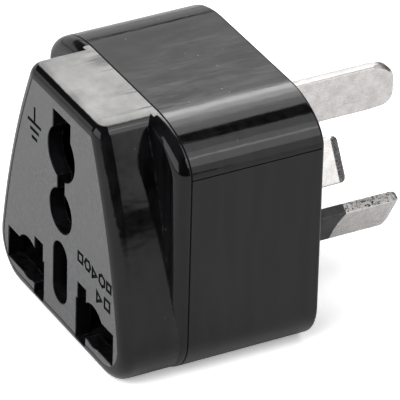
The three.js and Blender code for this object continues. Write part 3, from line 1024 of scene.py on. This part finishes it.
class ADAPTER_OT_rear_housing(bpy.types.Operator):
    """Models the rear housing: shell, back wall, screw seats, blade windows"""

    bl_idname = "adapter.rear_housing"
    bl_label = "Rear housing"

    def execute(self, context):
        size = sizes()
        housing = casing_slab(0.0, SEAM, BACK, 20)
        edit(housing)
        round_edges(BACK, size.back_edge, 4)
        round_edges(SEAM, SOFT_EDGE, 2)
        leave_edit()
        # a fine mould line where each top corner runs out into the side
        line_z = size.height - size.corner_down
        half, depth = MOULD_LINE["half"] * MM, MOULD_LINE["depth"] * MM
        for side in (-1, 1):
            x = side * size.width / 2
            cut(housing, block(x - depth, x + depth, SEAM - MM, BACK + MM, line_z - half, line_z + half))
        cut(housing, casing_slab(size.wall, SEAM - MM, BACK - size.back_wall, 16))
        for side in (-1, 1):
            x, z = side * SCREW_X * MM, SCREW_Z * MM
            weld(housing, rod(x, z, SCREW_SEAT["radius"] * MM, SCREW_SEAT["start"] * MM, BACK - MM, 48))
            cut(housing,
                rod(x, z, SCREW_SEAT["head"] * MM, BACK - 2 * MM, BACK + MM, 48),
                rod(x, z, SCREW_SEAT["hole"] * MM, SEAM, BACK, 32))
        for place in blade_places():
            cut(housing, window_tool(place, 0.2 * MM, BACK - size.back_wall - MM, BACK + MM))
        tidy_seams(housing)
        edit(housing)
        soften_openings(BACK)
        smooth(housing)

        def in_mould_line(face):
            middle, side = centre(face), size.width / 2
            return (abs(middle.z - line_z) < 0.1 * MM and face.calc_area() < 1e-5
                    and side - 0.08 * MM < abs(middle.x) < side - 0.01 * MM)

        finish_piece(housing, "housing_rear", "rear_housing", "casing", polished_plastic(), recess_shade_plastic())
        # painted shade in the seam groove and the mould line
        paint_faces(housing, 1, lambda face: seam_groove(face) or in_mould_line(face))
        return {"FINISHED"}


# ---- Blades ----

def blade_strip(y_low, tip, rounding):
    """A flat strip on the Y axis, its width upright, with round tip corners and soft edges."""
    size = sizes()
    upper, lower = rounding["upper"] * MM, rounding["lower"] * MM
    thick, wide = size.blade_thickness / 2, size.blade_width / 2
    strip = block(-thick, thick, y_low, tip, -wide, wide)
    edit(strip)
    for level, radius in ((wide, upper), (-wide, lower)):
        pick("edges", lambda edge: edge_at(edge, 2, level) and edge_at(edge, 1, tip))
        bevel(radius, 10)
    turn = tip - max(upper, lower) - 0.4 * MM
    bpy.ops.mesh.select_all(action="SELECT")
    bpy.ops.mesh.bisect(plane_co=(0, turn, 0), plane_no=(0, 1, 0))

    def rim(edge):
        flatness = [abs(face.normal.x) for face in edge.link_faces]
        return len(flatness) == 2 and max(flatness) > 0.99 and min(flatness) < 0.01

    def depth(edge):
        return (edge.verts[0].co.y + edge.verts[1].co.y) / 2

    pick("edges", lambda edge: rim(edge) and not edge_at(edge, 1, y_low) and depth(edge) < turn)
    bevel(rounding["edge"] * MM, 3)
    pick("edges", lambda edge: rim(edge) and depth(edge) > turn)
    bevel(rounding["tip"] * MM, 2, 0.35)
    leave_edit()
    return strip


def chamfer_tip(strip, tip):
    """Cuts the long lead-in slope on both faces of a blade's tip."""
    thick = sizes().blade_thickness / 2
    lean = math.atan2(TIP_SLOPE["depth"], TIP_SLOPE["length"])
    for side in (-1, 1):
        ends = sorted((0.0, side * 2 * MM))
        wedge = block(ends[0], ends[1], -3 * MM, 3 * MM, -6 * MM, 6 * MM)
        wedge.rotation_euler = (0, 0, side * lean)
        wedge.location = (side * (thick - TIP_SLOPE["depth"] * MM), tip, 0)
        cut(strip, settle(wedge))
    return strip


def tab_tool(tab, side):
    """The flat tab that a blade's root is folded into, a hair narrower than the blade."""
    size = sizes()
    end = side * tab["length"] * MM
    half = size.blade_width / 2 - 0.03 * MM
    tab_piece = block(min(0.0, end), max(0.0, end), (BLADE_ROOT + 0.02) * MM,
                      (BLADE_ROOT + TAB_THICKNESS) * MM, -half, half)
    edit(tab_piece)
    pick("edges", lambda edge: edge_at(edge, 0, end))
    bevel(0.15 * MM, 2)
    leave_edit()
    return tab_piece


def finish_blade(strip, place, tab, side):
    weld(strip, tab_tool(tab, side))
    cut(strip, rod(side * tab["rivet"] * MM, 0, RIVET_HOLE * MM, (BLADE_ROOT - 1) * MM,
                   (BLADE_ROOT + TAB_THICKNESS + 0.5) * MM, 32))
    tidy_seams(strip)
    stand(strip, place)
    return smooth(strip)


class ADAPTER_OT_earth_blade(bpy.types.Operator):
    """Models the upright earth blade with its rounded tip and folded root"""

    bl_idname = "adapter.earth_blade"
    bl_label = "Earth blade"

    def execute(self, context):
        strip = blade_strip(BLADE_ROOT * MM, EARTH_HIGH.y, EARTH_ROUNDING)
        finish_blade(strip, blade_places()[0], EARTH_TAB, 1)
        finish_piece(strip, "blade_earth", "earth_blade", "blade", nickel(), nickel_edge())
        # painted shade: the earth blade's upward faces near the tip take the darker copy of the plating
        paint_faces(strip, 1, lambda face: face.normal.z > 0.35 and centre(face).y > BACK - 4 * MM)
        return {"FINISHED"}


def sleeve_end_tool(reach):
    """A wide drum across the blade whose front curve is the sleeve's slanted end."""
    deselect()
    bpy.ops.mesh.primitive_cylinder_add(
        vertices=160,
        radius=SLEEVE_ARC["radius"] * MM - reach,
        depth=20 * MM,
        location=(0, SLEEVE_ARC["y"] * MM, SLEEVE_ARC["rise"] * MM),
        rotation=(0, UPRIGHT, 0),
    )
    return settle(bpy.context.object)


class ADAPTER_OT_live_blades(bpy.types.Operator):
    """Models the two sleeved blades: bare tip, thinner neck under the sleeve, folded root"""

    bl_idname = "adapter.live_blades"
    bl_label = "Active and neutral blades"

    def execute(self, context):
        size = sizes()
        half_thick, half_wide = size.blade_thickness / 2, size.blade_width / 2
        for pole, place, side in zip(("active", "neutral"), blade_places()[1:], (-1, 1)):
            tip = blade_strip(BACK + 7 * MM, LIVE_TIP, LIVE_ROUNDING)
            chamfer_tip(tip, LIVE_TIP)
            combine(tip, sleeve_end_tool(0.05 * MM), "INTERSECT")
            inner = (SLEEVE_WALL + 0.05) * MM
            thick, wide = half_thick - inner, half_wide - inner
            weld(tip, block(-thick, thick, (BLADE_ROOT + 2) * MM, BACK + 10.6 * MM, -wide, wide))
            weld(tip, block(-half_thick, half_thick, BLADE_ROOT * MM, BACK - size.back_wall,
                            -half_wide, half_wide))
            finish_blade(tip, place, LIVE_TAB, side)
            finish_piece(tip, "blade_" + pole, pole + "_blade", "blade", nickel(), sheared_metal())
            x, z, lean = place
            up = Vector((math.sin(lean), 0, math.cos(lean)))
            paint_faces(tip, 1, lambda face: face.normal.dot(up) > 0.75
                        and (centre(face) - Vector((x, 0, z))).dot(up) > 2.7 * MM
                        and centre(face).y > BACK + 4 * MM)
        return {"FINISHED"}


def flatten_above(level):
    """Brings every vertex of the edited piece that stands above a level down to it."""
    if pick("verts", lambda vert: vert.co.z > level):
        bpy.ops.transform.resize(value=(1, 1, 0), center_override=(0, 0, level))


class ADAPTER_OT_sleeves(bpy.types.Operator):
    """Models the black sleeves on the active and neutral blades, with their slanted ends"""

    bl_idname = "adapter.sleeves"
    bl_label = "Blade sleeves"

    def execute(self, context):
        size = sizes()
        thick, wide = size.blade_thickness / 2, size.blade_width / 2
        inner = SLEEVE_WALL * MM
        y_low = BACK - size.back_wall + 0.1 * MM
        for pole, place in zip(("active", "neutral"), blade_places()[1:]):
            sleeve = block(-thick, thick, y_low, BACK + 9.65 * MM, -wide, wide)
            edit(sleeve)
            pick("edges", along_y)
            bevel(0.22 * MM, 4)
            leave_edit()
            cut(sleeve,
                block(-thick + inner, thick - inner, y_low - MM, BACK + 13 * MM,
                      -wide + inner, wide - inner),
                sleeve_end_tool(0.0))
            tidy_seams(sleeve)
            stand(sleeve, place)
            smooth(sleeve)
            finish_piece(sleeve, "sleeve_" + pole, pole + "_sleeve", "sleeve", sleeve_plastic())
        return {"FINISHED"}


# ---- Contacts, carrier and screws ----

def refinish(node, material):
    """Gives a CAD node whose shape stays a better material."""
    node.data.materials.clear()
    node.data.materials.append(material)


class ADAPTER_OT_contacts(bpy.types.Operator):
    """Finishes the contact plates, spring leaves and rivets"""

    bl_idname = "adapter.contacts"
    bl_label = "Contacts"

    def execute(self, context):
        for name, node in frame["nodes"].items():
            if "leaf" in name or "plate" in name:
                material = brass()
            elif "rivet" in name:
                material = steel()
            else:
                continue
            refinish(node, material)
        return {"FINISHED"}


class ADAPTER_OT_carrier(bpy.types.Operator):
    """Finishes the plate that carries the contacts"""

    bl_idname = "adapter.carrier"
    bl_label = "Contact carrier"

    def execute(self, context):
        refinish(frame["nodes"]["contact_carrier"], carrier_plastic())
        return {"FINISHED"}


class ADAPTER_OT_screws(bpy.types.Operator):
    """Models the two case screws with their cross recesses"""

    bl_idname = "adapter.screws"
    bl_label = "Case screws"

    def execute(self, context):
        head_low = BACK - SCREW_HEAD["sunk"] * MM
        head_high = head_low + SCREW_HEAD["depth"] * MM
        for side, name in ((-1, "left"), (1, "right")):
            x, z = side * SCREW_X * MM, SCREW_Z * MM
            screw = rod(x, z, SCREW_HEAD["radius"] * MM, head_low, head_high, 48)
            edit(screw)
            round_edges(head_high, SCREW_HEAD["rounding"] * MM, 5)
            round_edges(head_low, SCREW_HEAD["foot_rounding"] * MM, 2)
            weld(screw, shank(x, z, head_low))
            for turn in (0, UPRIGHT):
                tool = recess_tool(head_high)
                tool.rotation_euler = (0, turn + RECESS["turn"] * side, 0)
                tool.location = (x, 0, z)
                cut(screw, settle(tool))
            tidy_seams(screw)
            smooth(screw)
            finish_piece(screw, "screw_" + name, "case_screw_" + name, "screw", steel())
        return {"FINISHED"}


def recess_tool(head_high):
    """One arm of a screw's cross recess, narrower at its foot."""
    long, wide = RECESS["half_length"] * MM, RECESS["half_width"] * MM
    tool = block(-long, long, head_high - RECESS["depth"] * MM, head_high + MM, -wide, wide)
    edit(tool)
    pick("verts", lambda vert: vert.co.y < head_high)
    taper = RECESS["taper"]
    bpy.ops.transform.resize(value=(taper, 1, taper), center_override=(0, 0, 0))
    leave_edit()
    return tool


def shank(x, z, head_low):
    """The threaded part: a bar whose rings are drawn in and out by turns."""
    start, end = SHANK["start"] * MM, head_low + SHANK["into_head"] * MM
    bar = rod(x, z, SHANK["radius"] * MM, start, end, 24)
    edit(bar)
    count = SHANK["rings"]
    pick("edges", along_y)
    bpy.ops.mesh.subdivide(number_cuts=count - 1)
    step = (end - start) / count
    rings = [(start + ring * step, SHANK["groove"]) for ring in range(1, count - 2, 2)]
    for level, share in rings + [(start, SHANK["point"])]:
        pick("verts", lambda vert: abs(vert.co.y - level) < step / 4)
        bpy.ops.transform.resize(value=(share, 1, share), center_override=(x, level, z))
    leave_edit()
    return bar


# ---- Stage ----

CEILING = 0.5
# name, limits across and limits back as shares of the ceiling's height, brightness
CEILING_LIGHTS = (
    ("back_panel", -2.4, -1.36, 0.4, 1.4, 1.2),
    ("back_glow", -1.36, -1.1, 0.4, 1.3, 2.6),
    ("main_softbox", -1.1, -0.86, 0.25, 1.1, 7.6),
    ("main_middle", -0.86, -0.66, 0.25, 1.0, 5.2),
    ("main_inner", -0.66, -0.46, 0.25, 1.0, 3.4),
    ("main_edge", -0.46, -0.24, 0.25, 1.0, 2.2),
    ("second_inner", 0.05, 0.34, 0.25, 1.0, 1.5),
    ("second_softbox", 0.34, 0.62, 0.25, 1.0, 2.3),
    ("second_rim", 0.62, 0.73, 0.25, 1.0, 4.6),
)

SIDE_DISTANCE = 0.5
# name, limits back and limits upwards in metres, brightness
SIDE_LIGHTS = (
    ("side_front", 0.19, 0.22, 0.06, 0.3, 1.05),
    ("side_low", 0.22, 0.66, 0.004, 0.3, 1.05),
    ("side_high", 0.12, 0.66, 0.3, 0.68, 2.3),
)

# name, place, what it faces, width, height, brightness
CARDS = (
    ("left_card", (-0.6, -0.12, 0.13), (0, -0.12, 0.13), 0.96, 0.2, 0.8),
    ("front_card", (-0.02, -0.7, 0.34), (-0.02, 0, 0.34), 0.76, 0.54, 1.8),
)

# Lens, distance and aim in millimetres, then azimuth, elevation and roll in degrees
CAMERA = {"lens": 450.0, "distance": 643.7, "height": 17.6, "right": 5.546, "down": 1.305}
CAMERA_ANGLES = (61.13, 31.20, 1.554)


def white_floor():
    """Pale grey for light that falls on it, and white where the camera sees it."""
    material, tree, shader, place = start_material("floor_white")
    ray = put(tree, "ShaderNodeLightPath").outputs["Is Camera Ray"]
    surface(tree, shader, blend_colour(tree, ray, grey(0.54), grey(1.0)), 0.9,
            Emission_Color=blend_colour(tree, ray, grey(0.0), grey(0.36)),
            Emission_Strength=1.0, Specular_IOR_Level=0.0)
    return material


def area_light(name, place, aim, width, height, power, glossy=True):
    deselect()
    bpy.ops.object.light_add(type="AREA", location=place)
    light = bpy.context.object
    light.name = name
    light.data.shape = "RECTANGLE"
    light.data.size = width
    light.data.size_y = height
    light.data.energy = power
    light.rotation_euler = (Vector(aim) - Vector(place)).to_track_quat("-Z", "Y").to_euler()
    light.visible_camera = False
    light.visible_glossy = glossy


def panel_light(name, place, aim, width, height, brightness):
    """A flat light whose power follows from its size and how bright it looks."""
    area_light(name, place, aim, width, height, brightness * math.pi * width * height)


class ADAPTER_OT_stage(bpy.types.Operator):
    """Adds the pale floor, the studio lights and the camera"""

    bl_idname = "adapter.stage"
    bl_label = "Stage"

    def execute(self, context):
        scene = context.scene
        deselect()
        bpy.ops.mesh.primitive_plane_add(size=6.0, location=(0, 0, 0))
        floor = bpy.context.object
        floor.name = "floor"
        floor.data.materials.append(white_floor())
        world = bpy.data.worlds.new("studio")
        world.use_nodes = True
        backdrop = world.node_tree.nodes["Background"]
        backdrop.inputs["Color"].default_value = (0.02, 0.02, 0.021, 1.0)
        backdrop.inputs["Strength"].default_value = 1.0
        scene.world = world
        scene.view_settings.view_transform = "Standard"
        scene.view_settings.look = "None"
        # ceiling strips from left to right, with a dark gap between the main and the second light
        for name, x_low, x_high, y_low, y_high, brightness in CEILING_LIGHTS:
            width, depth = (x_high - x_low) * CEILING, (y_high - y_low) * CEILING
            x, y = (x_low + x_high) / 2 * CEILING, (y_low + y_high) / 2 * CEILING
            panel_light(name, (x, y, CEILING), (x, y, 0), width, depth, brightness)
        for name, y_low, y_high, z_low, z_high, brightness in SIDE_LIGHTS:
            y, z = (y_low + y_high) / 2, (z_low + z_high) / 2
            panel_light(name, (SIDE_DISTANCE, y, z), (0, y, z), y_high - y_low, z_high - z_low, brightness)
        for card in CARDS:
            panel_light(*card)
        area_light("fill", (0.3, -0.7, 0.9), (0, 0, 0.018), 1.0, 1.0, 18.0, glossy=False)
        scene.camera = studio_camera(scene)
        return {"FINISHED"}


def studio_camera(scene):
    camera_data = bpy.data.cameras.new("camera")
    camera = bpy.data.objects.new("camera", camera_data)
    scene.collection.objects.link(camera)
    camera_data.sensor_width = 36.0
    camera_data.lens = CAMERA["lens"]
    camera_data.clip_end = 10.0
    azimuth, elevation, roll = (math.radians(angle) for angle in CAMERA_ANGLES)
    back = Vector((math.sin(azimuth) * math.cos(elevation), -math.cos(azimuth) * math.cos(elevation),
                   math.sin(elevation)))
    right = Vector((math.cos(azimuth), math.sin(azimuth), 0))
    up = back.cross(right)
    target = Vector((0, 0, CAMERA["height"])) + right * CAMERA["right"] - up * CAMERA["down"]
    place = (target + back * CAMERA["distance"]) * MM
    across = right * math.cos(roll) + up * math.sin(roll)
    upward = up * math.cos(roll) - right * math.sin(roll)
    turn = Matrix((across, upward, back)).transposed().to_4x4()
    camera.matrix_world = Matrix.Translation(place) @ turn
    return camera


# ---- Panel and registration ----

class ADAPTER_PT_pieces(bpy.types.Panel):
    """Lists the adapter's pieces in the order they are made"""

    bl_idname = "ADAPTER_PT_pieces"
    bl_label = "Travel adapter"
    bl_space_type = "VIEW_3D"
    bl_region_type = "UI"
    bl_category = "Adapter"

    def draw(self, context):
        layout = self.layout
        for group in (context.scene.adapter_sizes, context.scene.adapter_finishes):
            box = layout.box()
            for name in group.__annotations__:
                box.prop(group, name)
        for operator in OPERATORS:
            layout.operator(operator.bl_idname)


OPERATORS = (
    ADAPTER_OT_front_cover,
    ADAPTER_OT_rear_housing,
    ADAPTER_OT_earth_blade,
    ADAPTER_OT_live_blades,
    ADAPTER_OT_sleeves,
    ADAPTER_OT_contacts,
    ADAPTER_OT_carrier,
    ADAPTER_OT_screws,
    ADAPTER_OT_stage,
)
CLASSES = (AdapterSizes, AdapterFinishes) + OPERATORS + (ADAPTER_PT_pieces,)


def register():
    for kind in CLASSES:
        bpy.utils.register_class(kind)
    bpy.types.Scene.adapter_sizes = PointerProperty(type=AdapterSizes)
    bpy.types.Scene.adapter_finishes = PointerProperty(type=AdapterFinishes)


def unregister():
    del bpy.types.Scene.adapter_finishes
    del bpy.types.Scene.adapter_sizes
    for kind in reversed(CLASSES):
        bpy.utils.unregister_class(kind)


def main():
    register()
    bpy.ops.adapter.front_cover()
    bpy.ops.adapter.rear_housing()
    bpy.ops.adapter.earth_blade()
    bpy.ops.adapter.live_blades()
    bpy.ops.adapter.sleeves()
    bpy.ops.adapter.contacts()
    bpy.ops.adapter.carrier()
    bpy.ops.adapter.screws()
    bpy.ops.adapter.stage()


if __name__ == "__main__":
    main()
